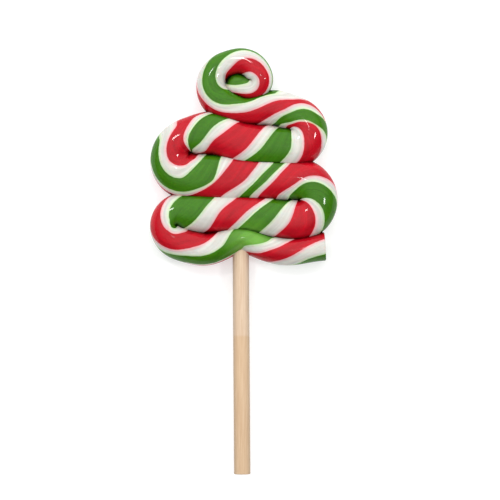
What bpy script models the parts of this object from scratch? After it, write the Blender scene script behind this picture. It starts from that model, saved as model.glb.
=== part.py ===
"""Christmas tree lollipop: one twisted sugar rope laid in folds on a round birch stick.

The lollipop lies on its back.  +X is to the right and +Y towards the tree's crown as it is seen
from above, and +Z is up.  The origin is under the middle of the whole, on the surface it lies on.
Sizes are in millimetres here and are turned into metres where the meshes are made.
"""

import math

import bmesh
import bpy
import numpy as np
from mathutils import Matrix, Vector

MM = 0.001

# ---------------------------------------------------------------- driving sizes (mm)
STICK_DIAMETER = 5.6          # a 7/32 inch stick
STICK_LENGTH = 101.6          # a 4 inch stick
STICK_X = -0.7                # where its middle line would cross the row's middle, Y = 0
STICK_LEAN = -0.0065          # change of X per mm of Y: it leans a little
STICK_FOOT_Y = -72.8
STICK_CHAMFER = 0.25
STICK_SIDES = 32
CLEARANCE = 0.3               # round the stick, and over its end
BORE_START_Y = -8.0           # of the bore's cutter, outside the sweet

HEAD_DEPTH = 12.1             # from the flat back to the front
FLAT_BACK = 0.5               # how far the round rope is sunk into its flat back
ROUNDNESS = 2.2               # 2 is an ellipse, more is squarer
FOLD_LIMIT = 0.93             # of the bend's radius that the rope's inner side may reach
FOLD_MARGIN = 2.0             # the distance over which it narrows before and after a bend
ROPE_SIDES = 22
STEP = 0.25                   # between the points of the route
SOFTENING = 1.35              # how far the bends run into the straights
RING_LENGTH = 3.0             # longest piece of rope between two rings
RING_TURN = math.radians(13)  # largest turn between two rings
LEAST_BENDING = 1e-3          # of a straight run, in radians per mm
SHARP_EDGE = math.radians(50)

# linear colours and roughness
CANDY_LOOK = ((0.55, 0.12, 0.10), 0.15)
BIRCH_LOOK = ((0.72, 0.55, 0.36), 0.6)

CLOCKWISE, ANTICLOCKWISE = -1, 1
RIGHT, LEFT = -1, 1

# The rope starts at a flat cut at the foot of the tree and folds to and fro up to the crown.
CUT_END = (28.2, 5.4)
BENDS = [
    # name, centre x, centre y, radius, turn
    ("low left", -20.6, 11.9, 5.0, CLOCKWISE),
    ("low right", 18.2, 20.9, 7.2, ANTICLOCKWISE),
    ("high left", -18.9, 34.6, 6.2, CLOCKWISE),
    ("high right", 17.2, 44.0, 5.4, ANTICLOCKWISE),
    ("crown left", -3.7, 60.5, 7.3, CLOCKWISE),
    ("crown right", -1.0, 61.7, 6.9, CLOCKWISE),
    ("curl", 3.5, 61.8, 2.8, CLOCKWISE),
]
TIP = (-6.4, 61.6)

# The folds aren't straight: each sway moves the rope to its left, seen along the rope.
SWAYS = [
    # name, distance from the cut end, reach, amount
    ("right foot", 13.5, 9.4, 2.4),
    ("over the stick", 28.7, 5.7, -1.7),
    ("left foot", 41.3, 7.6, 2.5),
    ("second fold", 87.0, 12.0, 0.9),
    ("fourth fold's hump", 191.0, 8.2, 3.5),
    ("shoulder", 244.0, 8.0, -2.2),
    ("neck", 251.6, 8.1, 1.1),
]

# Where the rope climbs over itself, its middle is higher than where it lies on its back.
LIFTS = [
    # name, distance from the cut end, reach, amount
    ("curl over the neck", 294.0, 11.0, 3.8),
]

# Where another fold presses the rope's right side in, or with a minus, where the side bulges.
PRESSES = [
    # name, distance from the cut end, reach, amount
    ("neck under the curl", 252.0, 5.5, 1.6),
    ("third fold beside the pivot", 160.0, 6.0, -0.6),
    ("fourth fold beside the pivot", 187.0, 5.0, -0.3),
]

# The inner side of a tight bend is pressed together at a pivot, away from the bend's centre.
PIVOTS = [
    # name, distance from the cut end, reach, inner side, shift from the centre in x and y
    ("low left", 57.0, 11.0, RIGHT, -2.6, 0.5),
    ("low right", 115.0, 12.0, LEFT, 1.1, 0.0),
    ("high left", 173.5, 11.0, RIGHT, 0.4, 2.5),
    ("high right", 227.0, 10.0, LEFT, -0.8, 1.1),
]

# Half the rope's width and half its depth along its length: it is pulled thin towards the crown.
FULL_DEPTH = (HEAD_DEPTH + FLAT_BACK) / 2
GIRTH = [
    # distance from the cut end, half width, half depth
    (0.0, 4.9, 5.7),
    (16.0, 4.8, 6.0),
    (29.5, 4.6, FULL_DEPTH),
    (42.0, 5.8, FULL_DEPTH),
    (57.0, 6.3, FULL_DEPTH),
    (70.0, 7.0, FULL_DEPTH),
    (115.0, 7.1, FULL_DEPTH),
    (138.0, 7.7, FULL_DEPTH),
    (152.0, 8.5, FULL_DEPTH),
    (173.5, 6.5, FULL_DEPTH),
    (190.0, 7.5, FULL_DEPTH),
    (205.0, 7.8, FULL_DEPTH),
    (227.0, 6.5, FULL_DEPTH),
    (240.0, 6.4, 6.2),
    (252.0, 5.8, 6.0),
    (262.5, 5.7, 5.8),
    (270.5, 4.8, 5.4),
    (278.0, 4.3, 5.0),
    (287.0, 4.6, 4.7),
    (298.5, 4.2, 4.0),
    (304.0, 3.9, 3.7),
]
GIRTH_SOFTENING = 2.5
TIP_LENGTH = 3.0              # of the rounded tip
TIP_LIMIT = 0.95              # of the tip's length that the rounding runs over, before its flat end
FIRST_FOLD = 50.0             # the distance within which the rope is in its first fold
FOLD_TIPS = (57.0, 115.0, 173.5, 227.0, 270.0, 288.0)
CORE_RADIUS = 1.3             # of the peg at a tight bend's pivot
CORE_DEPTH = 3.2              # up and down from the rope's middle
CORE_SIDES = 10
START_LENGTH, START_SCALE = 0.5, 0.97   # of a fold's start inside the fold before it
END_LENGTH, END_SCALE = 0.8, 0.7        # of a fold's end inside the fold after it

# Where the first fold crosses the stick, its front is pushed up and its back down.
ARCH_REACH = 4.5
ARCH_PUSH = 1.4


def clear_scene():
    """An empty scene to build in."""
    for thing in list(bpy.data.objects):
        bpy.data.objects.remove(thing, do_unlink=True)


def material(name, colour, roughness):
    """A Principled material with one linear colour."""
    made = bpy.data.materials.new(name)
    made.use_nodes = True
    shader = made.node_tree.nodes["Principled BSDF"]
    shader.inputs["Base Color"].default_value = (*colour, 1.0)
    shader.inputs["Roughness"].default_value = roughness
    shader.inputs["Metallic"].default_value = 0.0
    return made


# ---------------------------------------------------------------- the rope's route
def tangent_points(first, second):
    """Where a straight run leaves one bend and meets the next, each (x, y, radius, turn)."""
    x1, y1, radius1, turn1 = first
    x2, y2, radius2, turn2 = second
    dx, dy = x2 - x1, y2 - y1
    gap = math.hypot(dx, dy)
    shift = radius1 * turn1 - radius2 * turn2
    run = math.sqrt(gap * gap - shift * shift)
    along = np.array([run * dx - shift * dy, run * dy + shift * dx]) / gap ** 2
    right = np.array([along[1], -along[0]])
    leave = np.array([x1, y1]) + radius1 * turn1 * right
    meet = np.array([x2, y2]) + radius2 * turn2 * right
    return leave, meet


def arc_points(bend, start, end):
    """Points round a bend from start to end."""
    x, y, radius, turn = bend
    first = math.atan2(start[1] - y, start[0] - x)
    last = math.atan2(end[1] - y, end[0] - x)
    sweep = turn * ((last - first) * turn % (2 * math.pi))
    count = max(2, int(abs(sweep) * radius / STEP))
    angles = first + np.linspace(0.0, sweep, count)
    return np.stack([x + radius * np.cos(angles), y + radius * np.sin(angles)], axis=1)


def line_points(start, end):
    """Points along a straight run."""
    count = max(2, int(math.dist(start, end) / STEP))
    return start + (end - start) * np.linspace(0.0, 1.0, count)[:, None]


def soften(values, reach):
    """A rolling average with a bell-shaped weight, which keeps the two ends in place."""
    half = int(3 * reach / STEP)
    bell = np.exp(-0.5 * (np.arange(-half, half + 1) * STEP / reach) ** 2)
    bell /= bell.sum()
    before = 2 * values[0] - values[half:0:-1]
    after = 2 * values[-1] - values[-2:-half - 2:-1]
    padded = np.concatenate([before, values, after])
    return np.convolve(padded, bell, "valid")


def evenly(points):
    """The same route with its points STEP apart, and each point's distance along it."""
    travelled = np.concatenate([[0.0], np.cumsum(np.hypot(*np.diff(points, axis=0).T))])
    distance = np.arange(0.0, travelled[-1], STEP)
    return distance, np.stack([np.interp(distance, travelled, points[:, k]) for k in (0, 1)], axis=1)


def directions(route):
    """Unit vectors along the route and to its left."""
    along = np.gradient(route, axis=0)
    along /= np.hypot(*along.T)[:, None]
    return along, np.stack([-along[:, 1], along[:, 0]], axis=1)


def humps(distance, changes):
    """The sum of the bell-shaped changes at each distance along the rope."""
    return sum(amount * np.exp(-((distance - place) / reach) ** 2) for name, place, reach, amount in changes)


def rope_route():
    """The rope's middle line: straight runs between the bends, softened, then swayed."""
    stops = [(*CUT_END, 0.0, CLOCKWISE)]
    stops += [(x, y, radius, turn) for name, x, y, radius, turn in BENDS]
    stops += [(*TIP, 0.0, CLOCKWISE)]
    pieces = []
    arrived = None
    for here, following in zip(stops, stops[1:]):
        leave, meet = tangent_points(here, following)
        if arrived is not None:
            pieces.append(arc_points(here, arrived, leave))
        pieces.append(line_points(leave, meet))
        arrived = meet
    distance, route = evenly(np.concatenate(pieces))
    route = np.stack([soften(route[:, k], SOFTENING) for k in (0, 1)], axis=1)
    left = directions(route)[1]
    return distance, route + left * humps(distance, SWAYS)[:, None]


def turning(route):
    """Unit vectors to the route's left, and how fast it turns left, in radians per mm."""
    along, left = directions(route)
    heading = np.unwrap(np.arctan2(along[:, 1], along[:, 0]))
    return left, np.gradient(heading, STEP)


def rope_girth(distance):
    """Half width and half depth at each distance, with the tip rounded off."""
    places, widths, depths = zip(*GIRTH)
    rounded = np.clip((distance - distance[-1] + TIP_LENGTH) / TIP_LENGTH, 0.0, TIP_LIMIT)
    tip = np.sqrt(1.0 - rounded ** 2)
    half_width = soften(np.interp(distance, places, widths), GIRTH_SOFTENING) * tip
    half_depth = soften(np.interp(distance, places, depths), GIRTH_SOFTENING) * tip
    return half_width, half_depth


def within_bend(half_width, bending):
    """The half width on the side that the rope bends to, where the bend's radius leaves less room."""
    room = FOLD_LIMIT / np.maximum(bending, LEAST_BENDING)
    margin = int(FOLD_MARGIN / STEP)
    padded = np.pad(room, margin, mode="edge")
    least = np.min([padded[k:k + len(room)] for k in range(2 * margin + 1)], axis=0)
    return soften(np.minimum(half_width, least), FOLD_MARGIN / 3)


def side_edges(distance, left, bending, half_width):
    """Vectors from the rope's middle line to its left edge and to its right edge."""
    edges = []
    for side, pressed in ((LEFT, 0.0), (RIGHT, humps(distance, PRESSES))):
        width = within_bend(half_width - pressed, side * bending)
        edge = left * (side * width)[:, None]
        for name, place, reach, inner_side, shift_x, shift_y in PIVOTS:
            if inner_side == side:
                near = np.exp(-((distance - place) / reach) ** 4)
                edge = edge + near[:, None] * (shift_x, shift_y)
        edges.append(edge)
    return edges


def ring_places(distance, bending):
    """Indices of the points that get a ring: closer together in the bends."""
    effort = np.cumsum(STEP * (1.0 / RING_LENGTH + np.abs(bending) / RING_TURN))
    count = int(effort[-1]) + 1
    return np.unique(np.searchsorted(effort, np.linspace(effort[0], effort[-1], count)))


def rope_rings():
    """One ring of (x, y, z) points, in mm, for each place along the rope, and each ring's distance."""
    distance, route = rope_route()
    left, bending = turning(route)
    half_width, half_depth = rope_girth(distance)
    to_left, to_right = side_edges(distance, left, bending, half_width)
    middle_height = half_depth - FLAT_BACK + humps(distance, LIFTS)
    rings = []
    places = ring_places(distance, bending)
    for index in places:
        ring = []
        for side in range(ROPE_SIDES):
            angle = 2 * math.pi * (side + 0.5) / ROPE_SIDES
            across = math.copysign(abs(math.cos(angle)) ** (2 / ROUNDNESS), math.cos(angle))
            up = math.copysign(abs(math.sin(angle)) ** (2 / ROUNDNESS), math.sin(angle))
            edge = to_left[index] if across > 0 else to_right[index]
            x, y = route[index] + edge * abs(across)
            z = max(0.0, middle_height[index] + half_depth[index] * up)
            if distance[index] < FIRST_FOLD:
                crossing = math.exp(-((x - STICK_X) / ARCH_REACH) ** 2)
                y += ARCH_PUSH * crossing * max(0.0, across) * up
            ring.append(Vector((x, y, z)) * MM)
        rings.append(ring)
    return distance[places], rings


def shrunk(ring, towards, length, scale):
    """A smaller copy of a ring, moved towards another one: a fold's end, inside its neighbour."""
    middle = sum(ring, Vector()) / len(ring)
    beyond = sum(towards, Vector()) / len(towards)
    step = (beyond - middle).normalized() * length * MM
    return [middle + (point - middle) * scale + step for point in ring]


# ---------------------------------------------------------------- the pieces
def new_object(name, shape, look):
    """An object from a shape, with one material and smooth faces."""
    mesh = bpy.data.meshes.new(name)
    shape.to_mesh(mesh)
    shape.free()
    mesh.materials.append(look)
    mesh.shade_smooth()
    mesh.set_sharp_from_angle(angle=SHARP_EDGE)
    made = bpy.data.objects.new(name, mesh)
    bpy.context.scene.collection.objects.link(made)
    return made


def tube_shape(rings):
    """A closed tube through the rings, with a flat cap at each end."""
    shape = bmesh.new()
    loops = [[shape.verts.new(point) for point in ring] for ring in rings]
    for near, far in zip(loops, loops[1:]):
        for side, corner in enumerate(near):
            after = (side + 1) % len(near)
            shape.faces.new((corner, near[after], far[after], far[side]))
    shape.faces.new(loops[0][::-1])
    shape.faces.new(loops[-1])
    bmesh.ops.recalc_face_normals(shape, faces=shape.faces)
    return shape


def core_shapes():
    """A short upright peg at the pivot of each tight bend, where the rope is pressed together."""
    distance, route = rope_route()
    left, bending = turning(route)
    half_depth = rope_girth(distance)[1]
    for name, place, reach, inner_side, shift_x, shift_y in PIVOTS:
        index = int(place / STEP)
        middle = route[index] + left[index] / bending[index] + (shift_x, shift_y)
        height = half_depth[index] - FLAT_BACK
        shape = bmesh.new()
        bmesh.ops.create_cone(
            shape,
            cap_ends=True,
            segments=CORE_SIDES,
            radius1=CORE_RADIUS * MM,
            radius2=CORE_RADIUS * MM,
            depth=2 * CORE_DEPTH * MM,
            matrix=Matrix.Translation(Vector((*middle, height)) * MM),
        )
        yield shape


def fold_shapes():
    """The rope cut at the tips of its bends into folds, each with its ends inside its neighbours."""
    distance, rings = rope_rings()
    cuts = [0] + [int(np.argmin(np.abs(distance - place))) for place in FOLD_TIPS] + [len(rings) - 1]
    for first, last in zip(cuts, cuts[1:]):
        fold = rings[first:last + 1]
        if first > 0:
            fold[0] = shrunk(rings[first], rings[first - 1], START_LENGTH, START_SCALE)
        if last < len(rings) - 1:
            fold.append(shrunk(rings[last], rings[last + 1], END_LENGTH, END_SCALE))
        yield tube_shape(fold)


def rod_shape(radius, start_y, end_y, chamfer):
    """A round rod along the stick's middle line with both ends chamfered."""
    height = FULL_DEPTH - FLAT_BACK
    shape = bmesh.new()
    rings = []
    for y, ring_radius in (
        (start_y, radius - chamfer),
        (start_y + chamfer, radius),
        (end_y - chamfer, radius),
        (end_y, radius - chamfer),
    ):
        ring = []
        for side in range(STICK_SIDES):
            angle = 2 * math.pi * side / STICK_SIDES
            x = STICK_X + STICK_LEAN * y + ring_radius * math.cos(angle)
            z = height + ring_radius * math.sin(angle)
            ring.append(shape.verts.new((x * MM, y * MM, z * MM)))
        rings.append(ring)
    for near, far in zip(rings, rings[1:]):
        for side in range(STICK_SIDES):
            after = (side + 1) % STICK_SIDES
            shape.faces.new((near[side], near[after], far[after], far[side]))
    shape.faces.new(rings[0][::-1])
    shape.faces.new(rings[-1])
    bmesh.ops.recalc_face_normals(shape, faces=shape.faces)
    return shape


def build_candy(bore):
    """The folds fused into one body, with the stick's hole in it."""
    look = material("candy", *CANDY_LOOK)
    folds = bpy.data.collections.new("folds")
    shapes = [*fold_shapes(), *core_shapes()]
    candy = new_object("candy_rope", shapes[0], look)
    for number, shape in enumerate(shapes[1:], 2):
        fold = new_object(f"fold_{number}", shape, look)
        bpy.context.scene.collection.objects.unlink(fold)
        folds.objects.link(fold)
    bpy.context.scene.collection.children.link(folds)
    fuse = candy.modifiers.new("fused folds", "BOOLEAN")
    fuse.operation = "UNION"
    fuse.solver = "EXACT"
    fuse.operand_type = "COLLECTION"
    fuse.collection = folds
    cut = candy.modifiers.new("stick bore", "BOOLEAN")
    cut.operation = "DIFFERENCE"
    cut.solver = "EXACT"
    cut.object = bore
    depsgraph = bpy.context.evaluated_depsgraph_get()
    fused = bpy.data.meshes.new_from_object(candy.evaluated_get(depsgraph))
    candy.modifiers.clear()
    candy.data = fused
    for fold in list(folds.objects):
        bpy.data.objects.remove(fold, do_unlink=True)
    bpy.data.collections.remove(folds)
    return candy


def build_stick():
    """The round stick from its foot to its hidden end."""
    look = material("birch", *BIRCH_LOOK)
    end_y = STICK_FOOT_Y + STICK_LENGTH
    return new_object("stick", rod_shape(STICK_DIAMETER / 2, STICK_FOOT_Y, end_y, STICK_CHAMFER), look)


def build_bore():
    """The cutter of the blind hole that the stick stands in, open at the foot of the tree."""
    look = material("bore", *BIRCH_LOOK)
    end_y = STICK_FOOT_Y + STICK_LENGTH + CLEARANCE
    radius = STICK_DIAMETER / 2 + CLEARANCE
    bore = new_object("bore_cutter", rod_shape(radius, BORE_START_Y, end_y, STICK_CHAMFER), look)
    bore.hide_render = True
    bore.display_type = "WIRE"
    return bore


def main():
    """The whole lollipop."""
    clear_scene()
    build_candy(build_bore())
    build_stick()


main()
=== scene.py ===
"""Christmas tree lollipop, finished: a glossy rope of twisted sugar folded into a tree, on a birch stick.

The finished rope and stick take the places of the solids "candy_rope" and "stick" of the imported
model, which is loaded first as a fixed frame.  The lollipop lies on its back: +X is to the right,
+Y towards the tree's crown and +Z up, in metres.  The rope's route is written in millimetres.
"""

import math

import bpy
import numpy as np
from bpy.props import FloatProperty, FloatVectorProperty, IntProperty, PointerProperty
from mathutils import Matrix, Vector
from mathutils.bvhtree import BVHTree


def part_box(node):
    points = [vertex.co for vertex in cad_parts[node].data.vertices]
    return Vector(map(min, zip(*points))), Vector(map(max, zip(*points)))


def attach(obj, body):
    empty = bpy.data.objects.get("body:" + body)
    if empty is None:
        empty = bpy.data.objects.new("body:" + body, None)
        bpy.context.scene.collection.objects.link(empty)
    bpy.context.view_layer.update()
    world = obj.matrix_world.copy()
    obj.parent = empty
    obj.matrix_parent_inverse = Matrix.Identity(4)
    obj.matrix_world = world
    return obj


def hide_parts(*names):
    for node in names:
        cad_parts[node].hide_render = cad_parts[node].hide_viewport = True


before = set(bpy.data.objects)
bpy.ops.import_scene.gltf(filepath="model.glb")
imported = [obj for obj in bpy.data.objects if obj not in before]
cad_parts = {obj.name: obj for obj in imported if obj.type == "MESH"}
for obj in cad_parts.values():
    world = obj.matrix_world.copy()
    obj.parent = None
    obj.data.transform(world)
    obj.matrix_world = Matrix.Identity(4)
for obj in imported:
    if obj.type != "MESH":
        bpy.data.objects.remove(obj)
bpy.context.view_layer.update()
STICK_LOW, STICK_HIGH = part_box("stick")
STICK_LEAN = -0.0065          # change of the stick's X along Y

bl_info = {
    "name": "Christmas tree lollipop",
    "version": (1, 0, 0),
    "blender": (4, 5, 0),
    "location": "3D View > Sidebar > Lollipop",
    "description": "A twisted sugar rope folded into a tree, its birch stick and a plain studio",
    "category": "Object",
}

MM = 0.001
FULL_TURN = 360.0
GOLDEN_ANGLE = math.pi * (3 - math.sqrt(5))
SHARP_EDGE = math.radians(40)  # from which two faces meet in a sharp edge
BODY = "root"

# ---------------------------------------------------------------- the rope's route, in mm
STEP = 0.25                   # between the points that the route is worked out at
SOFTENING = 1.35              # how far the bends run into the straights
FOLD_LIMIT = 1.12             # of the bend's radius that the rope's inner side may reach
FOLD_MARGIN = 2.0             # the distance over which it narrows before and after a bend
LEAST_BENDING = 1e-3          # of a straight run, in radians per mm
GIRTH_SOFTENING = 2.5
CUT_RINGS = (0.0, 0.12, 0.3, 0.5, 0.7, 0.85)    # sizes of the rings that close the flat cut end
CUT_EDGE_ANGLES = (15.0, 35.0, 55.0, 75.0)      # of the rings round the cut end's edge
CUT_GIRTH = 5.0               # about half the rope's width at the cut
TIP_LENGTH = 3.0              # of the rounded tip
TIP_STEP = 6.0                # degrees between the tip's rings
FIRST_FOLD = 50.0             # the distance within which the rope is in its first fold
WELD = 0.002                  # closer points than this are merged

CLOCKWISE, ANTICLOCKWISE = -1, 1
RIGHT, LEFT = -1, 1

CUT_END = (28.2, 5.4)
BENDS = [
    # name, centre x, centre y, radius, turn
    ("low left", -20.6, 11.9, 5.0, CLOCKWISE),
    ("low right", 18.2, 20.9, 7.2, ANTICLOCKWISE),
    ("high left", -18.9, 34.6, 6.2, CLOCKWISE),
    ("high right", 17.2, 44.0, 5.4, ANTICLOCKWISE),
    ("crown left", -3.7, 60.5, 7.3, CLOCKWISE),
    ("crown right", -1.0, 61.7, 6.9, CLOCKWISE),
    ("curl", 2.9, 61.9, 3.3, CLOCKWISE),
]
TIP = (-6.4, 61.6)

# Each sway moves the rope to its left, seen along the rope.
SWAYS = [
    # name, distance from the cut end, reach, amount
    ("right foot", 13.5, 9.4, 2.4),
    ("over the stick", 28.7, 5.7, -1.7),
    ("left foot", 41.3, 7.6, 2.5),
    ("second fold", 87.0, 12.0, 0.9),
    ("fourth fold's hump", 191.0, 8.2, 3.5),
    ("shoulder", 244.0, 8.0, -2.2),
    ("neck", 251.6, 8.1, 1.1),
]

# Where the rope climbs over itself: its middle is higher than where it lies on its back.
LIFTS = [
    # name, distance from the cut end, reach, amount
    ("curl over the neck", 294.0, 11.0, 3.8),
]

# Where another fold presses the rope's right side in, or with a minus, where the side bulges.
PRESSES = [
    # name, distance from the cut end, reach, amount
    ("neck under the curl", 252.0, 5.5, 1.6),
    ("third fold beside the pivot", 160.0, 6.0, -0.6),
    ("fourth fold beside the pivot", 187.0, 5.0, -0.3),
    ("tip under the crown", 303.0, 6.0, -0.6),
]

# The inner side of a tight bend is pressed together at a pivot, away from the bend's centre.
PIVOTS = [
    # name, distance from the cut end, reach, inner side, shift from the centre in x and y
    ("low left", 57.0, 11.0, RIGHT, -2.6, 0.5),
    ("low right", 115.0, 12.0, LEFT, 1.1, 0.0),
    ("high left", 173.5, 11.0, RIGHT, 0.4, 2.5),
    ("high right", 227.0, 10.0, LEFT, -0.8, 1.1),
]

GIRTH = [
    # distance from the cut end, half width, half depth
    (0.0, 4.9, 5.7),
    (16.0, 4.8, 6.0),
    (29.5, 4.6, 6.3),
    (42.0, 5.8, 6.3),
    (57.0, 6.3, 6.3),
    (70.0, 7.0, 6.3),
    (115.0, 7.1, 6.3),
    (138.0, 7.7, 6.3),
    (152.0, 8.5, 6.3),
    (173.5, 6.5, 6.3),
    (190.0, 7.5, 6.3),
    (205.0, 7.8, 6.3),
    (227.0, 6.5, 6.3),
    (240.0, 6.4, 6.2),
    (252.0, 5.8, 6.0),
    (262.5, 5.7, 5.8),
    (270.5, 4.8, 5.4),
    (278.0, 4.3, 5.0),
    (287.0, 4.6, 4.7),
    (298.5, 4.2, 4.0),
    (304.0, 3.9, 3.7),
]

# The sugar's bands turn round the rope as it is twisted: red, white, green, white.  For every turn,
# the distance at which each band's edge crosses the rope's right side, its crest and its left side.
# An edge that winds more has two more crossings, halfway between the crest and the two sides.
TURNS = [
    # red from, red to, green from, green to
    ((-80.0, -72.0, -64.0), (-62.0, -54.0, -46.0), (-44.0, -36.0, -28.0), (-26.0, -16.0, 8.0)),
    ((-6.0, 8.0, 16.5), (10.5, 18.0, 24.5), (19.0, 20.5, 23.0, 26.5, 29.5), (30.0, 34.5, 50.5)),
    ((36.0, 45.0, 53.5), (47.5, 55.0, 61.0), (52.5, 59.0, 64.5), (67.0, 71.0, 75.5)),
    ((73.5, 77.0, 83.0), (80.0, 85.5, 91.5), (83.0, 88.5, 94.0), (91.5, 96.0, 99.5)),
    ((97.5, 101.5, 103.0), (106.5, 110.5, 114.0), (109.5, 114.0, 117.5), (116.0, 122.0, 128.5)),
    ((119.0, 124.5, 132.5), (127.5, 133.0, 139.0), (129.5, 135.5, 142.0), (133.5, 139.0, 145.5)),
    ((138.5, 143.0, 152.0), (147.5, 152.5, 162.5), (152.0, 154.0, 167.0), (158.0, 164.5, 177.0)),
    ((160.5, 172.5, 181.5), (180.0, 181.5, 186.0), (181.0, 183.0, 189.5), (182.0, 189.5, 194.5)),
    ((187.0, 194.0, 197.5), (200.0, 204.0, 208.0), (203.0, 208.5, 212.5), (214.0, 218.0, 219.0)),
    ((219.0, 223.0, 233.0), (225.0, 228.5, 231.0, 233.5, 236.0), (227.5, 229.0, 232.0, 235.0, 238.5),
     (230.5, 234.0, 237.0, 239.5, 241.0)),
    ((233.5, 237.0, 239.5, 243.0, 247.5), (236.5, 241.5, 247.5, 259.0, 265.5),
     (243.0, 253.0, 259.5, 266.0, 273.0), (264.0, 274.0, 283.5)),
    ((275.0, 279.0, 282.5, 287.5, 297.0), (286.8, 289.3, 295.0, 299.8, 307.0),
     (299.5, 300.5, 304.0, 312.0, 330.0), (331.0, 334.0, 338.0)),
]
SIDE = 0.8                    # of the half width, where the side crossings are taken
NO_BAND = -8.0                # the band's number where no band reaches
FAR_OUTSIDE = -99.0           # the depth into a colour where none of its bands is near
LEAST_GIRTH = 0.5             # the least half width that an edge's lean is worked out with
LEAST_BAND = 1e-6             # the length of a band that has closed

# Further crossings nearer the rope's rims, where an edge is seen running along the outline.
RIM = [
    # turn, edge, degrees past the crest, distance
    (1, 1, 88.0, 44.0),       # the left foot's rim
    (1, 2, 74.0, 46.0),
    (6, 1, 84.0, 169.5),      # the upper left bend's lower rim
    (6, 2, 76.0, 172.5),
    (7, 1, 88.0, 192.0),      # the upper left bend's rim
    (7, 2, 88.0, 194.5),
    (7, 3, -75.0, 181.2),     # under the fold beside that bend's pivot
    (8, 0, -75.0, 183.5),
    (10, 0, -80.0, 229.5),    # the shoulder's rim
    (10, 1, -80.0, 234.0),
    (10, 3, 82.0, 300.0),     # the crown's upper right rim
]

# ---------------------------------------------------------------- the finishes, in mm
EDGE_FADE = 0.13              # from the middle of a band's edge to clear colour
EDGE_WANDER = 0.16            # how far the edges wander
PINK_REACH, PINK_MOST = 1.35, 0.58    # how far and how strongly red has bled into the white
MINT_REACH, MINT_MOST = 1.2, 0.46     # how far and how strongly green has
BLEED_FALL = 1.4              # how quickly the bled colour fades
LEAF_MIDDLE = (3.0, 5.5, 11.8)        # of the thin, lighter green sugar over the stick
LEAF_INNER, LEAF_OUTER = 2.0, 11.0    # from its middle, between which its lightness fades
LEAF_MOST = 0.6               # how light it is in its middle
CREASE_REACH = 5.0            # within which nearby sugar adds to the painted crease shade
CREASE_RAYS = 16              # sent out from each corner of the mesh to find it
CREASE_LOW, CREASE_HIGH = 0.06, 0.54  # how closed in the surface is where the painted crease shade starts and is full
BACK_HEIGHT = 0.3             # under which the surface is the flat back, which has no creases
RAY_START = 0.03              # how far over the surface the rays start
TONE_TOP, TONE_FOOT = -24.9, -26.0    # Y between which the birch turns more orange
SHADE_TOP, SHADE_SIDE = 8.4, 6.8        # Z between which painted shade turns the birch's lower sides greyer and darker

FLOOR_REACH = 1.5             # m, from the middle to each side
GLINTS = [
    # name, place from the lollipop's middle in m, size in m, power in W
    ("glint left", (-0.30, 0.42, 0.86), 0.11, 1.6),
    ("glint right", (0.52, 0.01, 0.80), 0.11, 1.8),
    ("glint top", (0.06, 0.12, 0.95), 0.035, 0.12),
]
WHITE_LIGHT = (1.0, 1.0, 1.0, 1.0)


# ---------------------------------------------------------------- the rope's sections
def tangent_points(first, second):
    """Where a straight run leaves one bend and meets the next, each (x, y, radius, turn)."""
    x1, y1, radius1, turn1 = first
    x2, y2, radius2, turn2 = second
    dx, dy = x2 - x1, y2 - y1
    gap = math.hypot(dx, dy)
    shift = radius1 * turn1 - radius2 * turn2
    run = math.sqrt(gap * gap - shift * shift)
    along = np.array([run * dx - shift * dy, run * dy + shift * dx]) / gap ** 2
    right = np.array([along[1], -along[0]])
    leave = np.array([x1, y1]) + radius1 * turn1 * right
    meet = np.array([x2, y2]) + radius2 * turn2 * right
    return leave, meet


def arc_points(bend, start, end):
    """Points round a bend from start to end."""
    x, y, radius, turn = bend
    first = math.atan2(start[1] - y, start[0] - x)
    last = math.atan2(end[1] - y, end[0] - x)
    sweep = turn * ((last - first) * turn % (2 * math.pi))
    angles = first + np.linspace(0.0, sweep, max(2, int(abs(sweep) * radius / STEP)))
    return np.stack([x + radius * np.cos(angles), y + radius * np.sin(angles)], axis=1)


def line_points(start, end):
    """Points along a straight run."""
    count = max(2, int(math.dist(start, end) / STEP))
    return start + (end - start) * np.linspace(0.0, 1.0, count)[:, None]


def soften(values, reach):
    """A rolling average with a bell-shaped weight, which keeps the two ends in place."""
    half = int(3 * reach / STEP)
    bell = np.exp(-0.5 * (np.arange(-half, half + 1) * STEP / reach) ** 2)
    bell /= bell.sum()
    before = 2 * values[0] - values[half:0:-1]
    after = 2 * values[-1] - values[-2:-half - 2:-1]
    return np.convolve(np.concatenate([before, values, after]), bell, "valid")


def directions(route):
    """Unit vectors along the route and to its left."""
    along = np.gradient(route, axis=0)
    along /= np.hypot(*along.T)[:, None]
    return along, np.stack([-along[:, 1], along[:, 0]], axis=1)


def humps(distance, changes):
    """The sum of the bell-shaped changes at each distance along the rope."""
    return sum(amount * np.exp(-((distance - place) / reach) ** 2) for name, place, reach, amount in changes)


def rope_route():
    """The rope's middle line: straight runs between the bends, softened, then swayed."""
    stops = [(*CUT_END, 0.0, CLOCKWISE)]
    stops += [(x, y, radius, turn) for name, x, y, radius, turn in BENDS]
    stops += [(*TIP, 0.0, CLOCKWISE)]
    pieces = []
    arrived = None
    for here, following in zip(stops, stops[1:]):
        leave, meet = tangent_points(here, following)
        if arrived is not None:
            pieces.append(arc_points(here, arrived, leave))
        pieces.append(line_points(leave, meet))
        arrived = meet
    points = np.concatenate(pieces)
    travelled = np.concatenate([[0.0], np.cumsum(np.hypot(*np.diff(points, axis=0).T))])
    distance = np.arange(0.0, travelled[-1], STEP)
    evenly = [np.interp(distance, travelled, points[:, k]) for k in (0, 1)]
    route = np.stack([soften(values, SOFTENING) for values in evenly], axis=1)
    left = directions(route)[1]
    return distance, route + left * humps(distance, SWAYS)[:, None]


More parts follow.
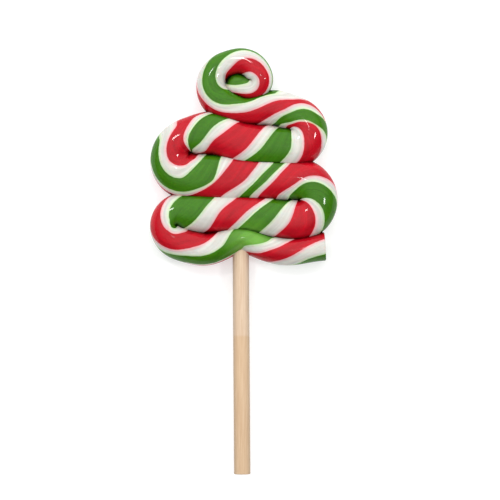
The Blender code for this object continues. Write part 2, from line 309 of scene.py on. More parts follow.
def within_bend(half_width, bending):
    """The half width on the side that the rope bends to, where the bend's radius leaves less room."""
    room = FOLD_LIMIT / np.maximum(bending, LEAST_BENDING)
    margin = int(FOLD_MARGIN / STEP)
    padded = np.pad(room, margin, mode="edge")
    least = np.min([padded[k:k + len(room)] for k in range(2 * margin + 1)], axis=0)
    return soften(np.minimum(half_width, least), FOLD_MARGIN / 3)


def side_edges(distance, left, bending, half_width):
    """Vectors from the rope's middle line to its left edge and to its right edge."""
    edges = []
    for side, pressed in ((LEFT, 0.0), (RIGHT, humps(distance, PRESSES))):
        width = within_bend(half_width - pressed, side * bending)
        edge = left * (side * width)[:, None]
        for name, place, reach, inner_side, shift_x, shift_y in PIVOTS:
            if inner_side == side:
                near = np.exp(-((distance - place) / reach) ** 4)
                edge = edge + near[:, None] * (shift_x, shift_y)
        edges.append(edge)
    return edges


def rope_stations(ring_gap, cut_rounding, flat_back):
    """The rope's sections from the cut end to the tip: a dict of arrays, in mm.

    Each end is closed by sections that shrink to a point: flat at the cut, with a rounded edge.
    """
    distance, route = rope_route()
    left = directions(route)[1]
    heading = np.unwrap(np.arctan2(-left[:, 0], left[:, 1]))
    bending = np.gradient(heading, STEP)
    places, widths, depths = zip(*GIRTH)
    half_width = soften(np.interp(distance, places, widths), GIRTH_SOFTENING)
    half_depth = soften(np.interp(distance, places, depths), GIRTH_SOFTENING)
    lift = humps(distance, LIFTS)
    to_left, to_right = side_edges(distance, left, bending, half_width)

    end = distance[-1]
    cut = [(0.0, size) for size in CUT_RINGS]
    for angle in np.radians(CUT_EDGE_ANGLES):
        along, inside = cut_rounding * (1 - math.cos(angle)), cut_rounding * (1 - math.sin(angle))
        cut.append((along, 1 - inside / CUT_GIRTH))
    body_end = end - TIP_LENGTH
    body = [(place, 1.0) for place in np.arange(cut_rounding, body_end, ring_gap)]
    tip_angles = np.radians(np.arange(0.0, 90.0 - TIP_STEP / 2, TIP_STEP))
    tip = [(body_end + TIP_LENGTH * math.sin(angle), math.cos(angle)) for angle in tip_angles]
    stations = np.array([*cut, *body, *tip, (end, 0.0)])
    travel, size = stations[:, 0], stations[:, 1]

    def at(values):
        return np.interp(travel, distance, values)

    def flat_at(vectors):
        return np.stack([at(vectors[:, 0]), at(vectors[:, 1]), np.zeros(len(travel))], axis=1)

    return {
        "centre": flat_at(route),
        "to_left": flat_at(to_left) * size[:, None],
        "to_right": flat_at(to_right) * size[:, None],
        "half_depth": at(half_depth) * size,
        "middle_height": at(half_depth - flat_back + lift),
        "travel": travel,
        "first_fold": np.where(travel < FIRST_FOLD, 1.0, 0.0),
    }


# ---------------------------------------------------------------- the bands round the rope
def smooth_curve(x, knots, values):
    """A cubic through the knots that never overshoots them, and its slope, at each x.

    Its slope at a knot is the harmonic mean of the slopes beside it, or 0 where they differ in sign.
    """
    gaps = np.diff(knots)
    slopes = np.diff(values) / gaps
    before, after = slopes[:-1], slopes[1:]
    both = np.where(before * after > 0, before + after, np.inf)
    inner = 2 * before * after / both
    tangents = np.concatenate([[slopes[0]], inner, [slopes[-1]]])
    index = np.clip(np.searchsorted(knots, x) - 1, 0, len(gaps) - 1)
    gap, t = gaps[index], (x - knots[index]) / gaps[index]
    t = np.clip(t, 0.0, 1.0)
    low, high = values[index], values[index + 1]
    low_slope, high_slope = tangents[index] * gap, tangents[index + 1] * gap
    place = (
        low * (1 + 2 * t) * (1 - t) ** 2 + low_slope * t * (1 - t) ** 2
        + high * t ** 2 * (3 - 2 * t) + high_slope * t ** 2 * (t - 1)
    )
    slope = (
        6 * t * (t - 1) * (low - high) + low_slope * (1 - 4 * t + 3 * t ** 2)
        + high_slope * (3 * t ** 2 - 2 * t)
    )
    return place, slope / gap


def band_edges(angle):
    """Where each band's edge lies at every angle round the rope, and how it leans there.

    The angle is in degrees from the rope's left side, over its crest (90) to its right side (180).
    An edge goes round backwards: as the distance grows, its angle falls.
    """
    side_turn = math.degrees(math.asin(SIDE))
    places, leans = [], []
    for edge in range(4):
        turned, crossed = [], []
        for turn, crossings in enumerate(TURNS):
            past_crest = np.linspace(-side_turn, side_turn, len(crossings[edge]))
            rims = [rim[2:] for rim in RIM if rim[:2] == (turn, edge)]
            for past, crossing in [*zip(past_crest, crossings[edge]), *rims]:
                turned.append(FULL_TURN * turn + past)
                crossed.append(crossing)
        order = np.argsort(turned)
        turned, crossed = np.array(turned)[order], np.array(crossed)[order]
        for turn in range(-1, len(TURNS) + 1):
            wanted = FULL_TURN * turn + 90.0 - angle
            place, lean = smooth_curve(wanted, turned, crossed)
            first_lean = (crossed[3] - crossed[0]) / FULL_TURN
            early = np.minimum(wanted - turned[0], 0.0)
            late = np.maximum(wanted - turned[-1], 0.0)
            places.append(((turn, edge), place + (early + late) * first_lean))
            leans.append(np.where(early + late == 0, lean, first_lean))
    order = sorted(range(len(places)), key=lambda k: places[k][0])
    return [places[k][0] for k in order], [places[k][1] for k in order], [leans[k] for k in order]


def paint_bands(mesh):
    """The bands' own coordinates on the rope: a map of distance and band, and the depth into each colour.

    The map's second number counts the bands along the rope.  The depths are in mm inside the red and
    the green bands, and negative outside them.
    """
    count = len(mesh.loops)
    travel = np.empty(count)
    angle = np.empty(count)
    width = np.empty(count)
    mesh.attributes["travel"].data.foreach_get("value", travel)
    mesh.attributes["angle"].data.foreach_get("value", angle)
    mesh.attributes["girth"].data.foreach_get("value", width)
    names, places, leans = band_edges(angle)
    band = np.full(count, NO_BAND)
    red = np.full(count, FAR_OUTSIDE)
    green = np.full(count, FAR_OUTSIDE)
    for number, ((turn, edge), start, lean) in enumerate(zip(names[:-1], places, leans)):
        end, end_lean = places[number + 1], leans[number + 1]
        length = np.maximum(end - start, LEAST_BAND)
        inside = (travel >= start) & (travel < end)
        band[inside] = (4 * turn + edge + (travel - start) / length)[inside]
        if edge in (0, 2):
            reach = np.radians(np.maximum(width, LEAST_GIRTH))
            from_start = (travel - start) / np.hypot(1.0, lean / reach)
            from_end = (end - travel) / np.hypot(1.0, end_lean / reach)
            depth = np.minimum(from_start, from_end)
            colour = red if edge == 0 else green
            np.maximum(colour, depth, out=colour)
    bands = mesh.uv_layers.new(name="bands")
    bands.data.foreach_set("uv", np.stack([travel, band], axis=1).ravel())
    for name, values in (("red_depth", red), ("green_depth", green)):
        mesh.attributes.new(name, "FLOAT", "CORNER").data.foreach_set("value", values)
    for name in ("travel", "angle", "girth"):
        mesh.attributes.remove(mesh.attributes[name])


def shade_creases(mesh, reach, rays):
    """How far the surface is closed in by the sugar round it, from 0 to 1, as the attribute "closed", which
    sets the painted crease shade.
    """
    corners = [corner.co for corner in mesh.vertices]
    tree = BVHTree.FromPolygons(corners, [face.vertices for face in mesh.polygons])
    spread = []
    for number in range(rays):
        height = math.sqrt((number + 0.5) / rays)
        flat = math.sqrt(1 - height * height)
        angle = GOLDEN_ANGLE * number
        spread.append((flat * math.cos(angle), flat * math.sin(angle), height))
    closed = np.zeros(len(mesh.vertices))
    for corner in mesh.vertices:
        normal = corner.normal
        if corner.co.z < BACK_HEIGHT * MM:
            continue
        aside = normal.orthogonal().normalized()
        further = normal.cross(aside)
        start = corner.co + normal * RAY_START * MM
        hits = 0.0
        for x, y, z in spread:
            distance = tree.ray_cast(start, aside * x + further * y + normal * z, reach)[3]
            if distance is not None:
                hits += 1 - distance / reach
        closed[corner.index] = hits / rays
    mesh.attributes.new("closed", "FLOAT", "POINT").data.foreach_set("value", closed)


# ---------------------------------------------------------------- node trees
class Wire:
    """An output of a node that Python's operators join to further Math or Vector Math nodes."""

    def __init__(self, graph, socket):
        self.graph = graph
        self.socket = socket

    def maths(self, operation, *values):
        """A Math node, or a Vector Math node where this wire carries a vector."""
        kind = "ShaderNodeVectorMath" if self.socket.type == "VECTOR" else "ShaderNodeMath"
        return self.graph.add(kind, {"operation": operation}, dict(enumerate(values)))

    def __add__(self, other):
        return self.maths("ADD", self, other)

    def __radd__(self, other):
        return self.maths("ADD", other, self)

    def __sub__(self, other):
        return self.maths("SUBTRACT", self, other)

    def __rsub__(self, other):
        return self.maths("SUBTRACT", other, self)

    def __mul__(self, other):
        return self.maths("MULTIPLY", self, other)

    def __rmul__(self, other):
        return self.maths("MULTIPLY", other, self)

    def __truediv__(self, other):
        return self.maths("DIVIDE", self, other)

    def __rtruediv__(self, other):
        return self.maths("DIVIDE", other, self)

    def __pow__(self, other):
        return self.maths("POWER", self, other)


class Graph:
    """A node tree that is being built."""

    def __init__(self, tree):
        self.tree = tree

    def add(self, kind, settings=None, values=None, output=0):
        """A node: its settings first, then the values or links of its sockets.  Gives one output."""
        node = self.tree.nodes.new(kind)
        node.location = (180 * (len(self.tree.nodes) % 12), -220 * (len(self.tree.nodes) // 12))
        for name, value in (settings or {}).items():
            setattr(node, name, value)
        for name, value in (values or {}).items():
            if isinstance(value, Wire):
                self.tree.links.new(value.socket, node.inputs[name])
            else:
                node.inputs[name].default_value = value
        return Wire(self, node.outputs[output]) if node.outputs else node

    def ramp_between(self, value, low, high, smooth=True):
        """0 below low and 1 above high."""
        kind = "SMOOTHSTEP" if smooth else "LINEAR"
        values = {"Value": value, "From Min": low, "From Max": high}
        return self.add("ShaderNodeMapRange", {"interpolation_type": kind}, values)

    def mix(self, factor, first, second, blend="MIX"):
        """A colour between two colours."""
        settings = {"data_type": "RGBA", "blend_type": blend}
        return self.add("ShaderNodeMix", settings, {0: factor, 6: first, 7: second}, output=2)

    def measured(self, operation, *vectors):
        """The number that comes from one or two vectors: a length, a distance or a dot product."""
        return self.add("ShaderNodeVectorMath", {"operation": operation}, dict(enumerate(vectors)), "Value")

    def scaled(self, vector, by):
        """A vector times a number."""
        return self.add("ShaderNodeVectorMath", {"operation": "SCALE"}, {0: vector, "Scale": by})

    def along(self, vector, axis):
        """One of a vector's three numbers."""
        return self.add("ShaderNodeSeparateXYZ", {}, {0: vector}, axis)

    def noise(self, place, scale, detail=2.0, roughness=0.5):
        """A soft random pattern, from 0 to 1."""
        values = {"Vector": place, "Scale": scale, "Detail": detail, "Roughness": roughness}
        return self.add("ShaderNodeTexNoise", {}, values)


def new_material(name):
    """A material with an empty tree, its graph, and a Principled shader joined to its output."""
    material = bpy.data.materials.new(name)
    material.use_nodes = True
    material.node_tree.nodes.clear()
    graph = Graph(material.node_tree)
    shader = material.node_tree.nodes.new("ShaderNodeBsdfPrincipled")
    output = material.node_tree.nodes.new("ShaderNodeOutputMaterial")
    material.node_tree.links.new(shader.outputs[0], output.inputs["Surface"])
    return material, graph, shader


def dress(shader, wires, values):
    """Joins what varies over the surface to the shader, and sets what is the same all over it."""
    for name, wire in wires.items():
        wire.graph.tree.links.new(wire.socket, shader.inputs[name])
    for name, value in values.items():
        shader.inputs[name].default_value = value


def candy_material(look):
    """Boiled sugar: clear-edged bands with fine pulled streaks along them, under a gloss."""
    material, graph, shader = new_material("pulled sugar")
    bands = graph.add("ShaderNodeUVMap", {"uv_map": "bands"})
    travel = graph.along(bands, "X")
    band = graph.along(bands, "Y")
    red_depth = graph.add("ShaderNodeAttribute", {"attribute_name": "red_depth"}, {}, "Fac")
    green_depth = graph.add("ShaderNodeAttribute", {"attribute_name": "green_depth"}, {}, "Fac")
    place = graph.add("ShaderNodeTexCoord", {}, {}, "Object")

    # round the rope once in every four bands, so that the streaks meet behind it
    turned = band * (math.pi / 2)
    across = turned.maths("COSINE", turned)
    around = turned.maths("SINE", turned)
    streak_place = graph.add("ShaderNodeCombineXYZ", {}, {0: across, 1: around, 2: travel * 0.02})
    streaks = graph.noise(streak_place, scale=14.0)
    drift_place = graph.add("ShaderNodeCombineXYZ", {}, {0: across, 1: around, 2: travel * 0.05})
    drift = graph.noise(drift_place, scale=2.2, detail=1.0)
    wander = (graph.noise(place, scale=900.0) - 0.5) * EDGE_WANDER

    # the two colours, with a wandering edge that has bled a little into the white
    red_in = red_depth + wander
    green_in = green_depth + wander
    red_mask = graph.ramp_between(red_in, -EDGE_FADE, EDGE_FADE)
    green_mask = graph.ramp_between(green_in, -EDGE_FADE, EDGE_FADE)
    red_bleed = graph.ramp_between(red_in, -PINK_REACH, 0.0) ** BLEED_FALL * PINK_MOST
    green_bleed = graph.ramp_between(green_in, -MINT_REACH, 0.0) ** BLEED_FALL * MINT_MOST

    streak_shade = graph.ramp_between(streaks, 0.3, 0.7)
    white = graph.mix(streak_shade, look.white_shade, look.white)
    white = graph.mix(red_bleed, white, look.pink)
    white = graph.mix(green_bleed, white, look.mint)
    red = graph.mix(streak_shade, look.red_shade, look.red)
    green = graph.mix(streak_shade, look.green_shade, look.green)
    over_stick = graph.measured("DISTANCE", place, [size * MM for size in LEAF_MIDDLE])
    thin = 1.0 - graph.ramp_between(over_stick, LEAF_INNER * MM, LEAF_OUTER * MM)
    green = graph.mix(thin * LEAF_MOST, green, look.leaf)
    colour = graph.mix(red_mask, white, red)
    colour = graph.mix(green_mask, colour, green)

    # paler and darker stretches
    shade = graph.ramp_between(drift, 0.25, 0.75) * 0.20 + 0.85
    shade = graph.add("ShaderNodeCombineColor", {}, {0: shade, 1: shade, 2: shade})
    colour = graph.mix(1.0, colour, shade, "MULTIPLY")

    # painted shade: deeper and darker colour in the creases, as far as the surface is closed in by the sugar
    # round it
    closed = graph.add("ShaderNodeAttribute", {"attribute_name": "closed"}, {}, "Fac")
    crease_shade = graph.ramp_between(closed, CREASE_LOW, CREASE_HIGH, smooth=False)
    colour_in_shade = graph.mix(1.0, colour, look.crease_shade, "MULTIPLY")
    shade_tint = graph.mix(red_mask + green_mask, look.white_crease_shade, colour_in_shade)
    painted_shade = graph.mix(1.0, colour, shade_tint, "MULTIPLY")
    colour = graph.mix(crease_shade, colour, painted_shade)

    # soft pits, with the streaks just felt between them
    pits = graph.noise(place, scale=420.0, detail=3.0, roughness=0.6)
    relief = {"Strength": 0.55, "Distance": 0.6 * MM, "Height": streaks * 0.04 + pits}
    bump = graph.add("ShaderNodeBump", {}, relief, "Normal")
    roughness = graph.ramp_between(pits, 0.3, 0.75) * 0.14 + look.roughness
    dress(
        shader,
        {"Base Color": colour, "Roughness": roughness, "Normal": bump},
        {
            "IOR": 1.5,
            "Specular IOR Level": 0.0,
            "Coat Weight": 0.45,
            "Coat Roughness": 0.06,
            "Coat IOR": 1.5,
            "Subsurface Weight": 0.3,
            "Subsurface Radius": (1.0, 0.4, 0.3),
            "Subsurface Scale": 0.6 * MM,
        },
    )
    return material


def birch_material(look):
    """Plain sanded birch: pale, with fine grain lines along the stick and darker short pores."""
    material, graph, shader = new_material("birch")
    place = graph.add("ShaderNodeTexCoord", {}, {}, "Object")
    stretched = place.maths("MULTIPLY", place, (1.0, 0.035, 1.0))
    shorter = place.maths("MULTIPLY", place, (1.0, 0.12, 1.0))
    grain = graph.noise(stretched, scale=2600.0, detail=3.0, roughness=0.6)
    broad = graph.noise(stretched, scale=500.0)
    pores = graph.noise(shorter, scale=3800.0, detail=1.0)
    foot = graph.ramp_between(graph.along(place, "Y"), TONE_TOP * MM, TONE_FOOT * MM)
    side_shade = 1.0 - graph.ramp_between(graph.along(place, "Z"), SHADE_SIDE * MM, SHADE_TOP * MM)
    colour = graph.mix(graph.ramp_between(grain, 0.3, 0.7), look.birch_dark, look.birch)
    colour = graph.mix(graph.ramp_between(broad, 0.35, 0.65) * 0.35, colour, look.birch_dark)
    colour = graph.mix(foot * 0.75, colour, look.birch_foot, "MULTIPLY")
    colour = graph.mix(graph.ramp_between(pores, 0.66, 0.74) * 0.3, colour, look.birch_pore)
    # painted shade: the stick's lower sides greyer and darker than its top
    colour = graph.mix(side_shade * 0.8, colour, look.birch_side_shade, "MULTIPLY")
    relief = {"Strength": 0.25, "Distance": 0.2 * MM, "Height": grain}
    bump = graph.add("ShaderNodeBump", {}, relief, "Normal")
    roughness = graph.ramp_between(broad, 0.3, 0.7) * 0.12 + 0.52
    dress(shader, {"Base Color": colour, "Roughness": roughness, "Normal": bump}, {"IOR": 1.45})
    return material


def floor_material(look):
    """Matt white board, lit from within, with a hardly visible tooth."""
    material, graph, shader = new_material("white board")
    place = graph.add("ShaderNodeTexCoord", {}, {}, "Object")
    tooth = graph.noise(place, scale=400.0)
    colour = graph.mix(tooth, look.floor, look.floor_tooth)
    lit = {"Emission Color": look.glow, "Emission Strength": 0.5}
    dress(shader, {"Base Color": colour}, {"Roughness": 0.9, "Specular IOR Level": 0.0, **lit})
    return material


# ---------------------------------------------------------------- meshes
def line_object(name, stations):
    """A mesh of edges through the stations' centres that carries their values as attributes."""
    centres = stations["centre"] * MM
    mesh = bpy.data.meshes.new(name)
    mesh.from_pydata(centres.tolist(), [(k, k + 1) for k in range(len(centres) - 1)], [])
    for key, values in stations.items():
        vector = values.ndim == 2
        scaled = values if key in ("first_fold", "travel") else values * MM
        attribute = mesh.attributes.new(key, "FLOAT_VECTOR" if vector else "FLOAT", "POINT")
        attribute.data.foreach_set("vector" if vector else "value", scaled.ravel())
    made = bpy.data.objects.new(name, mesh)
    bpy.context.scene.collection.objects.link(made)
    return made


def rope_tree(material):
    """Geometry Nodes that sweep a rounded section along the rope's stations."""
    tree = bpy.data.node_groups.new("rope sweep", "GeometryNodeTree")
    tree.interface.new_socket("Geometry", in_out="INPUT", socket_type="NodeSocketGeometry")
    tree.interface.new_socket("Geometry", in_out="OUTPUT", socket_type="NodeSocketGeometry")
    sockets = {}
    for name, kind in (
        ("Sides", "NodeSocketInt"),
        ("Roundness", "NodeSocketFloat"),
        ("Arch Reach", "NodeSocketFloat"),
        ("Arch Push", "NodeSocketFloat"),
        ("Stick X", "NodeSocketFloat"),
    ):
        sockets[name] = tree.interface.new_socket(name, in_out="INPUT", socket_type=kind).identifier
    graph = Graph(tree)
    group = tree.nodes.new("NodeGroupInput")
    asked = {socket.name: Wire(graph, socket) for socket in group.outputs if socket.name}

    def carried(name, kind="FLOAT"):
        return graph.add("GeometryNodeInputNamedAttribute", {"data_type": kind}, {"Name": name}, "Attribute")

    def stored(geometry, name, value, domain):
        settings = {"data_type": "FLOAT", "domain": domain}
        values = {"Geometry": geometry, "Name": name, "Value": value}
        return graph.add("GeometryNodeStoreNamedAttribute", settings, values)

    route = graph.add("GeometryNodeMeshToCurve", {}, {0: asked["Geometry"]})
    index = graph.add("GeometryNodeInputIndex")
    points = graph.add("GeometryNodeMeshLine", {}, {"Count": asked["Sides"] + 1.0, "Offset": (0.0, 0.0, MM)})
    points = stored(points, "turned", index / asked["Sides"] * (2 * math.pi) - math.pi / 2, "POINT")
    section = graph.add("GeometryNodeMeshToCurve", {}, {0: points})
    swept = graph.add("GeometryNodeCurveToMesh", {}, {0: route, 1: section})

    # the section is a rounded square: how far each of its points is to the left and up, from -1 to 1
    turned = carried("turned")
    cosine = turned.maths("COSINE", turned)
    sine = turned.maths("SINE", turned)
    power = 2.0 / asked["Roundness"]
    across = cosine.maths("ABSOLUTE", cosine) ** power * cosine.maths("SIGN", cosine)
    up = sine.maths("ABSOLUTE", sine) ** power * sine.maths("SIGN", sine)

    on_left = across.maths("GREATER_THAN", across, 0.0)
    to_left = carried("to_left", "FLOAT_VECTOR")
    to_right = carried("to_right", "FLOAT_VECTOR")
    reach = across.maths("ABSOLUTE", across)
    leftwards = graph.scaled(to_left, reach * on_left)
    rightwards = graph.scaled(to_right, reach * (1.0 - on_left))
    flat = carried("centre", "FLOAT_VECTOR") + leftwards + rightwards
    left_width = graph.measured("LENGTH", to_left)
    right_width = graph.measured("LENGTH", to_right)
    width = right_width + (left_width - right_width) * on_left
    height = carried("middle_height") + carried("half_depth") * up
    height = height.maths("MAXIMUM", height, 0.0)

    # over the stick the first fold's front is pushed up the tree and its back down
    off_stick = (graph.along(flat, "X") - asked["Stick X"]) / asked["Arch Reach"]
    crossing = off_stick * off_stick * -1.0
    crossing = crossing.maths("EXPONENT", crossing) * carried("first_fold")
    push = crossing * asked["Arch Push"] * across.maths("MAXIMUM", across, 0.0) * up
    place = flat + graph.add("ShaderNodeCombineXYZ", {}, {"Y": push, "Z": height})
    swept = graph.add("GeometryNodeSetPosition", {}, {"Geometry": swept, "Position": place})

    # the angle from the rope's left side, over its crest, to where the section's seam is at the back
    seen = across - push / width.maths("MAXIMUM", width, 0.1 * MM)
    fair = seen.maths("MINIMUM", seen.maths("MAXIMUM", seen, -1.0), 1.0)
    from_left = fair.maths("ARCCOSINE", fair) * math.degrees(1.0)
    behind_left = turned.maths("LESS_THAN", turned, 0.0)
    behind_right = turned.maths("GREATER_THAN", turned, math.pi)
    angle = from_left * (1.0 - behind_left * 2.0) * (1.0 - behind_right * 2.0) + behind_right * FULL_TURN
    swept = stored(swept, "angle", angle, "CORNER")
    swept = stored(swept, "travel", carried("travel"), "CORNER")
    swept = stored(swept, "girth", width / MM, "CORNER")
    swept = graph.add("GeometryNodeMergeByDistance", {}, {"Geometry": swept, "Distance": WELD * MM})
    swept = graph.add("GeometryNodeSetShadeSmooth", {}, {"Geometry": swept})
    swept = graph.add("GeometryNodeRealizeInstances", {}, {"Geometry": swept})
    swept = graph.add("GeometryNodeSetMaterial", {}, {"Geometry": swept, "Material": material})
    graph.add("NodeGroupOutput", {}, {"Geometry": swept})
    return tree, sockets


def made_plain(source, name, tree, inputs):
    """The object with the tree's result as its plain mesh, and no modifier."""
    modifier = source.modifiers.new("sweep", "NODES")
    modifier.node_group = tree
    for identifier, value in inputs.items():
        modifier[identifier] = value
    depsgraph = bpy.context.evaluated_depsgraph_get()
    mesh = bpy.data.meshes.new_from_object(source.evaluated_get(depsgraph))
    source.modifiers.clear()
    before = source.data
    source.data = mesh
    bpy.data.meshes.remove(before)
    mesh.name = name
    return source


def stick_x(y):
    """X of the stick's middle line, which leans a little."""
    return (STICK_LOW[0] + STICK_HIGH[0]) / 2 + STICK_LEAN * (y - (STICK_LOW[1] + STICK_HIGH[1]) / 2)


def turned_object(name, profile, sides, centre_z, material):
    """A mesh turned about the stick's middle line from (y, radius) points, with closed ends."""
    corners, faces = [], []
    for y, radius in profile:
        for side in range(sides):
            angle = 2 * math.pi * side / sides
            corners.append((stick_x(y) + radius * math.cos(angle), y, centre_z + radius * math.sin(angle)))
    for ring in range(len(profile) - 1):
        for side in range(sides):
            near, after = ring * sides + side, ring * sides + (side + 1) % sides
            faces.append((near, near + sides, after + sides, after))
    for ring, flipped in ((0, False), (len(profile) - 1, True)):
        corners.append((stick_x(profile[ring][0]), profile[ring][0], centre_z))
        middle = len(corners) - 1
        for side in range(sides):
            near, after = ring * sides + side, ring * sides + (side + 1) % sides
            faces.append((middle, after, near) if flipped else (middle, near, after))
    mesh = bpy.data.meshes.new(name)
    mesh.from_pydata(corners, [], faces)
    mesh.materials.append(material)
    mesh.shade_smooth()
    mesh.set_sharp_from_angle(angle=SHARP_EDGE)
    made = bpy.data.objects.new(name, mesh)
    bpy.context.scene.collection.objects.link(made)
    return made


# ---------------------------------------------------------------- what a user may change
class RopeSizes(bpy.types.PropertyGroup):
    sides: IntProperty(name="Sides", description="Faces round the rope", default=96, min=12)
    ring_gap: FloatProperty(
        name="Ring gap", description="Distance between the rope's rings", default=0.33 * MM, unit="LENGTH"
    )
    roundness: FloatProperty(
        name="Roundness", description="2 is an ellipse and more is squarer", default=2.2, min=1.0
    )
    flat_back: FloatProperty(
        name="Flat back", description="How much the back is flattened", default=0.5 * MM, unit="LENGTH"
    )
    arch_reach: FloatProperty(
        name="Arch reach", description="Half the arch's width over the stick", default=4.5 * MM, unit="LENGTH"
    )
    arch_push: FloatProperty(
        name="Arch push", description="How far the arch leans over the stick", default=1.4 * MM, unit="LENGTH"
    )
    cut_rounding: FloatProperty(
        name="Cut rounding", description="Radius of the cut end's edge", default=0.5 * MM, unit="LENGTH"
    )


class StickSizes(bpy.types.PropertyGroup):
    diameter: FloatProperty(
        name="Diameter", description="Of the stick", default=STICK_HIGH[2] - STICK_LOW[2], unit="LENGTH"
    )
    length: FloatProperty(
        name="Length", description="Of the whole stick", default=STICK_HIGH[1] - STICK_LOW[1], unit="LENGTH"
    )
    chamfer: FloatProperty(name="Chamfer", description="Of its two ends", default=0.25 * MM, unit="LENGTH")
    sides: IntProperty(name="Sides", description="Faces round the stick", default=72, min=12)


def colour(name, description, red, green, blue):
    """A colour that a user may change."""
    return FloatVectorProperty(
        name=name, description=description, default=(red, green, blue, 1.0),
        size=4, subtype="COLOR", min=0.0, max=1.0,
    )


class Colours(bpy.types.PropertyGroup):
    red: colour("Red", "The red bands", 0.49, 0.004, 0.014)
    red_shade: colour("Red streaks", "Darker streaks in the red bands", 0.41, 0.003, 0.011)
    green: colour("Green", "The green bands", 0.047, 0.180, 0.004)
    green_shade: colour("Green streaks", "Darker streaks in the green bands", 0.036, 0.145, 0.002)
    leaf: colour("Light green", "Thin green sugar", 0.20, 0.46, 0.07)
    white: colour("White", "The white bands", 0.635, 0.63, 0.585)
    white_shade: colour("White streaks", "Greyer streaks in the white bands", 0.585, 0.58, 0.53)
    # painted shade: the tints of the sugar in its creases
    crease_shade: colour("Creases", "Tints the red and green sugar in the creases", 0.40, 0.36, 0.34)
    white_crease_shade: colour("White creases", "Tints the white sugar in the creases", 0.84, 0.74, 0.72)
    pink: colour("Pink", "Red that has bled into the white", 0.82, 0.24, 0.31)
    mint: colour("Mint", "Green that has bled into the white", 0.40, 0.72, 0.20)
    birch: colour("Birch", "The stick's light grain", 0.67, 0.515, 0.37)
    birch_dark: colour("Birch grain", "The stick's darker grain", 0.58, 0.415, 0.28)
    birch_foot: colour("Birch foot", "Tints the stick's lower half", 0.93, 0.85, 0.72)
    # painted shade on the stick's lower sides
    birch_side_shade: colour("Birch sides", "Tints the stick's greyer sides", 0.76, 0.80, 0.86)
    birch_pore: colour("Birch pores", "The stick's short dark pores", 0.50, 0.34, 0.20)
    floor: colour("Floor", "The lit board that the lollipop lies on", 0.55, 0.55, 0.55)
    floor_tooth: colour("Floor's tooth", "The board's paler tooth", 0.57, 0.57, 0.57)
    glow: colour("Glow", "The light from within the board", 1.0, 1.0, 1.0)
    roughness: FloatProperty(
        name="Roughness", description="Of the sugar under its gloss", default=0.24, min=0.0, max=1.0
    )


class Studio(bpy.types.PropertyGroup):
    lens: FloatProperty(name="Lens", description="Focal length in mm", default=250.0, min=20.0)
    middle: FloatVectorProperty(
        name="Middle", description="The point of the lollipop in the middle of the view",
        default=(2.43 * MM, 3.85 * MM, 6.0 * MM), subtype="TRANSLATION", unit="LENGTH",
    )
    field: FloatProperty(
        name="Field", description="Width of the view at the lollipop", default=171.0 * MM, unit="LENGTH"
    )
    tent: FloatProperty(name="Tent", description="Strength of the light tent at its brightest", default=1.82)
    horizon: FloatProperty(name="Horizon", description="Strength of the light along the floor", default=0.2)
    tent_top: FloatVectorProperty(
        name="Tent's top", description="Direction of the tent's brightest part",
        default=(-0.10, 0.62, 0.78), subtype="DIRECTION",
    )


class Lollipop(bpy.types.PropertyGroup):
    rope: PointerProperty(type=RopeSizes, name="Rope", description="Sizes of the rope")
    stick: PointerProperty(type=StickSizes, name="Stick", description="Sizes of the stick")
    colours: PointerProperty(type=Colours, name="Colours", description="Colours of the sugar and the wood")
    studio: PointerProperty(type=Studio, name="Studio", description="Camera and lights")


# ---------------------------------------------------------------- operators
class LOLLIPOP_OT_rope(bpy.types.Operator):
    """Make the twisted sugar rope that is folded into a tree"""

    bl_idname = "lollipop.rope"
    bl_label = "Sugar rope"

    def execute(self, context):
        sizes = context.scene.lollipop.rope
        stations = rope_stations(sizes.ring_gap / MM, sizes.cut_rounding / MM, sizes.flat_back / MM)
        rope = line_object("sugar_rope", stations)
        material = candy_material(context.scene.lollipop.colours)
        tree, sockets = rope_tree(material)
        inputs = {
            sockets["Sides"]: sizes.sides,
            sockets["Roundness"]: sizes.roundness,
            sockets["Arch Reach"]: sizes.arch_reach,
            sockets["Arch Push"]: sizes.arch_push,
            sockets["Stick X"]: stick_x(0.0),
        }
        made_plain(rope, "sugar_rope", tree, inputs)
        if not rope.data.polygons:
            raise RuntimeError("the rope has no faces")
        paint_bands(rope.data)
        shade_creases(rope.data, CREASE_REACH * MM, CREASE_RAYS)
        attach(rope, BODY)
        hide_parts("candy_rope")
        return {"FINISHED"}


class LOLLIPOP_OT_stick(bpy.types.Operator):
    """Make the round birch stick"""

    bl_idname = "lollipop.stick"
    bl_label = "Birch stick"

    def execute(self, context):
        sizes = context.scene.lollipop.stick
        radius, chamfer = sizes.diameter / 2, sizes.chamfer
        foot = STICK_LOW[1]
        end = foot + sizes.length
        foot_end = []
        for angle in np.radians((90.0, 60.0, 30.0, 0.0)):
            along, inside = 1 - math.sin(angle), 1 - math.cos(angle)
            foot_end.append((foot + chamfer * along, radius - chamfer * inside))
        profile = foot_end + [(foot + end - y, ring) for y, ring in reversed(foot_end)]
        middle_z = (STICK_LOW[2] + STICK_HIGH[2]) / 2
        material = birch_material(context.scene.lollipop.colours)
        stick = turned_object("birch_stick", profile, sizes.sides, middle_z, material)
        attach(stick, BODY)
        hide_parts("stick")
        return {"FINISHED"}


def soft_light(name, place, target, size, power):
    """A square soft light that faces a point."""
    data = bpy.data.lights.new(name, "AREA")
    data.shape = "SQUARE"
    data.size = size
    data.energy = power
    light = bpy.data.objects.new(name, data)
    light.location = place
    light.rotation_euler = (Vector(target) - Vector(place)).to_track_quat("-Z", "Y").to_euler()
    bpy.context.scene.collection.objects.link(light)


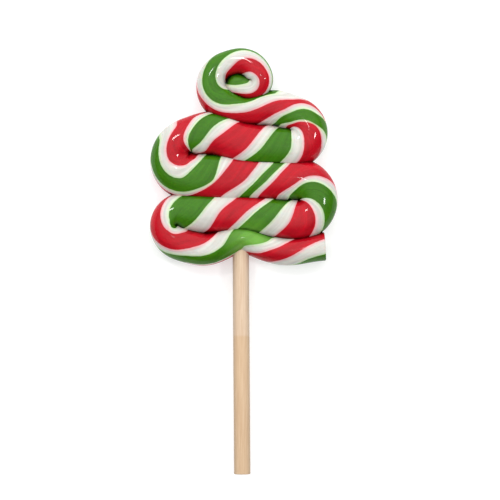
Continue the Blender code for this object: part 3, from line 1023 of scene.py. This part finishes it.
class LOLLIPOP_OT_studio(bpy.types.Operator):
    """Make the pale floor, the soft lights and the camera that looks straight down"""

    bl_idname = "lollipop.studio"
    bl_label = "Studio"

    def execute(self, context):
        scene = context.scene
        studio = scene.lollipop.studio
        floor_mesh = bpy.data.meshes.new("floor")
        quarters = ((-1, -1), (1, -1), (1, 1), (-1, 1))
        corners = [(FLOOR_REACH * x, FLOOR_REACH * y, 0.0) for x, y in quarters]
        floor_mesh.from_pydata(corners, [], [(0, 1, 2, 3)])
        floor_mesh.materials.append(floor_material(scene.lollipop.colours))
        floor = bpy.data.objects.new("floor", floor_mesh)
        scene.collection.objects.link(floor)

        middle = Vector(studio.middle)
        for name, place, size, power in GLINTS:
            soft_light(name, middle + Vector(place), middle, size, power)

        # a tent of light: bright over the lollipop and towards its crown, darker towards the horizon
        world = bpy.data.worlds.new("light tent")
        world.use_nodes = True
        world.node_tree.nodes.clear()
        graph = Graph(world.node_tree)
        direction = graph.add("ShaderNodeTexCoord", {}, {}, "Generated")
        towards = graph.measured("DOT_PRODUCT", direction, studio.tent_top)
        light = graph.ramp_between(towards, 0.1, 1.0) * (studio.tent - studio.horizon) + studio.horizon
        background = graph.add("ShaderNodeBackground", {}, {"Color": WHITE_LIGHT, "Strength": light})
        graph.add("ShaderNodeOutputWorld", {}, {"Surface": background})
        scene.world = world
        scene.view_settings.view_transform = "Standard"

        data = bpy.data.cameras.new("camera")
        data.lens = studio.lens
        camera = bpy.data.objects.new("camera", data)
        away = studio.field * studio.lens / data.sensor_width
        camera.location = middle + Vector((0.0, 0.0, away))
        scene.collection.objects.link(camera)
        scene.camera = camera
        return {"FINISHED"}


class LOLLIPOP_PT_panel(bpy.types.Panel):
    """The lollipop's pieces and their sizes"""

    bl_label = "Lollipop"
    bl_idname = "LOLLIPOP_PT_panel"
    bl_space_type = "VIEW_3D"
    bl_region_type = "UI"
    bl_category = "Lollipop"

    def draw(self, context):
        lollipop = context.scene.lollipop
        for operator, group in (
            (LOLLIPOP_OT_rope, lollipop.rope),
            (LOLLIPOP_OT_stick, lollipop.stick),
            (LOLLIPOP_OT_studio, lollipop.studio),
        ):
            box = self.layout.box()
            for name in group.__annotations__:
                box.prop(group, name)
            box.operator(operator.bl_idname)
        box = self.layout.box()
        for name in lollipop.colours.__annotations__:
            box.prop(lollipop.colours, name)


CLASSES = (
    RopeSizes,
    StickSizes,
    Colours,
    Studio,
    Lollipop,
    LOLLIPOP_OT_rope,
    LOLLIPOP_OT_stick,
    LOLLIPOP_OT_studio,
    LOLLIPOP_PT_panel,
)


def register():
    for made in CLASSES:
        bpy.utils.register_class(made)
    bpy.types.Scene.lollipop = PointerProperty(type=Lollipop)


def unregister():
    del bpy.types.Scene.lollipop
    for made in reversed(CLASSES):
        bpy.utils.unregister_class(made)


def main():
    register()
    bpy.ops.lollipop.rope()
    bpy.ops.lollipop.stick()
    bpy.ops.lollipop.studio()


if __name__ == "__main__":
    main()
